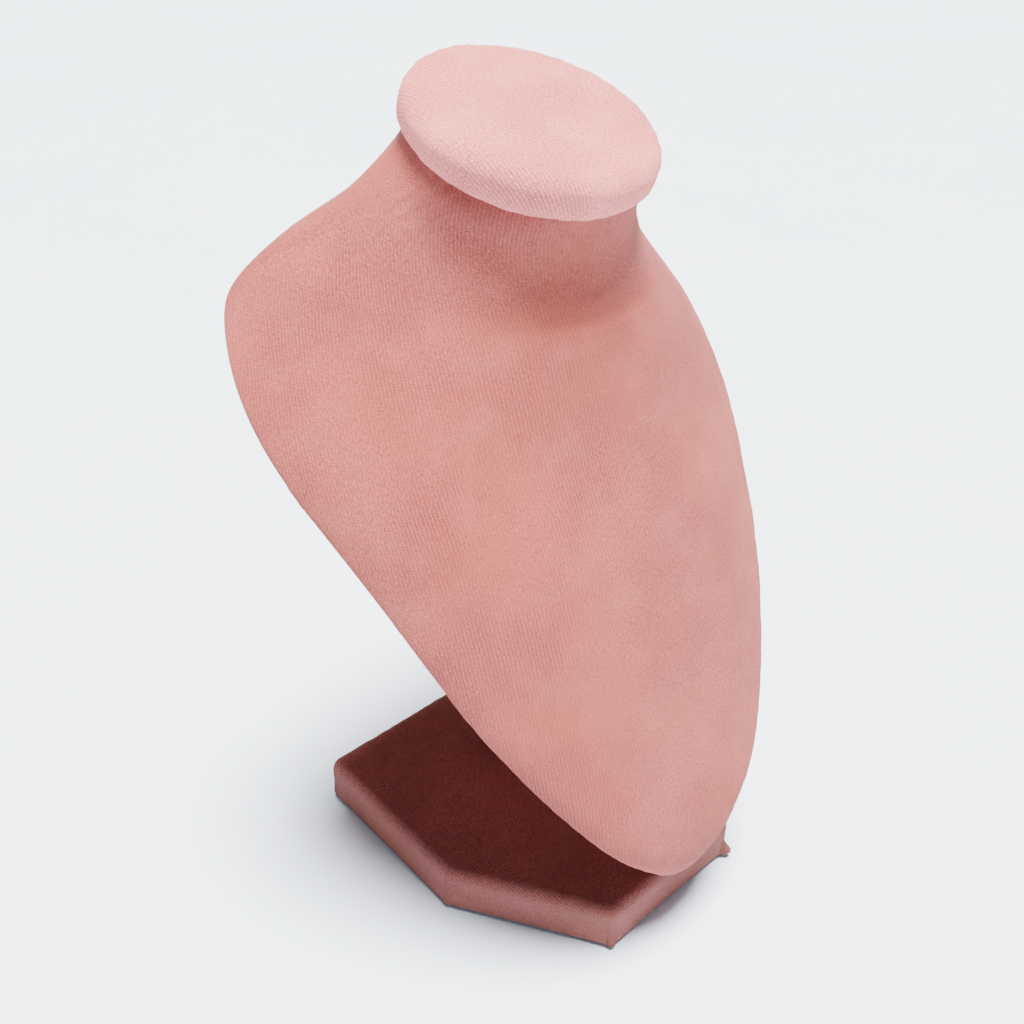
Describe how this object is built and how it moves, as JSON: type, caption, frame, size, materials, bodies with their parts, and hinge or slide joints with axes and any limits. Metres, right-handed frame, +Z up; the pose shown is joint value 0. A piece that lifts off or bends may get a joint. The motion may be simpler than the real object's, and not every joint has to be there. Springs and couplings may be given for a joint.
{
  "type": "necklace display bust",
  "caption": "Fabric-covered necklace display bust with an oval tilted cap, leaning chest and a six-sided covered base, carried by an upright post.",
  "frame": {"origin": "middle of the base board's 90 x 88 mm footprint, on the face the base rests on", "axes": "+Z up, the chest faces -Y, +X is the bust's left-right line and X = 0 its plane of symmetry"},
  "size_m": [0.1278, 0.109, 0.1965],
  "materials": {
    "velour_bust": "brushed pile knit",
    "velour_back": "brushed pile knit",
    "velour_post": "brushed pile knit",
    "velour_cap": "brushed pile knit",
    "velour_base": "brushed pile knit",
    "wadding": "soft white wadding",
    "shell_plastic": "matt moulded",
    "fibreboard": "raw fibreboard",
    "softwood": "planed",
    "felt": "felt",
    "wire": "galvanised",
    "screw_steel": "zinc plated"
  },
  "bodies": {
    "root": {"bust_cover": "velour_bust", "back_cover": "velour_back", "post_cover": "velour_post", "cap_cover": "velour_cap", "base_cover": "velour_base", "bust_wadding": "wadding", "cap_wadding": "wadding", "bust_shell": "shell_plastic", "back_panel": "fibreboard", "chest_block": "softwood", "neck_plug": "softwood", "cap_board": "fibreboard", "support_post": "softwood", "base_board": "fibreboard", "base_lining": "felt", "base_staples": "wire", "post_foot_screws": "screw_steel", "post_top_screws": "screw_steel", "cap_screws": "screw_steel", "tip_pin": "screw_steel"}
  },
  "joints": []
}
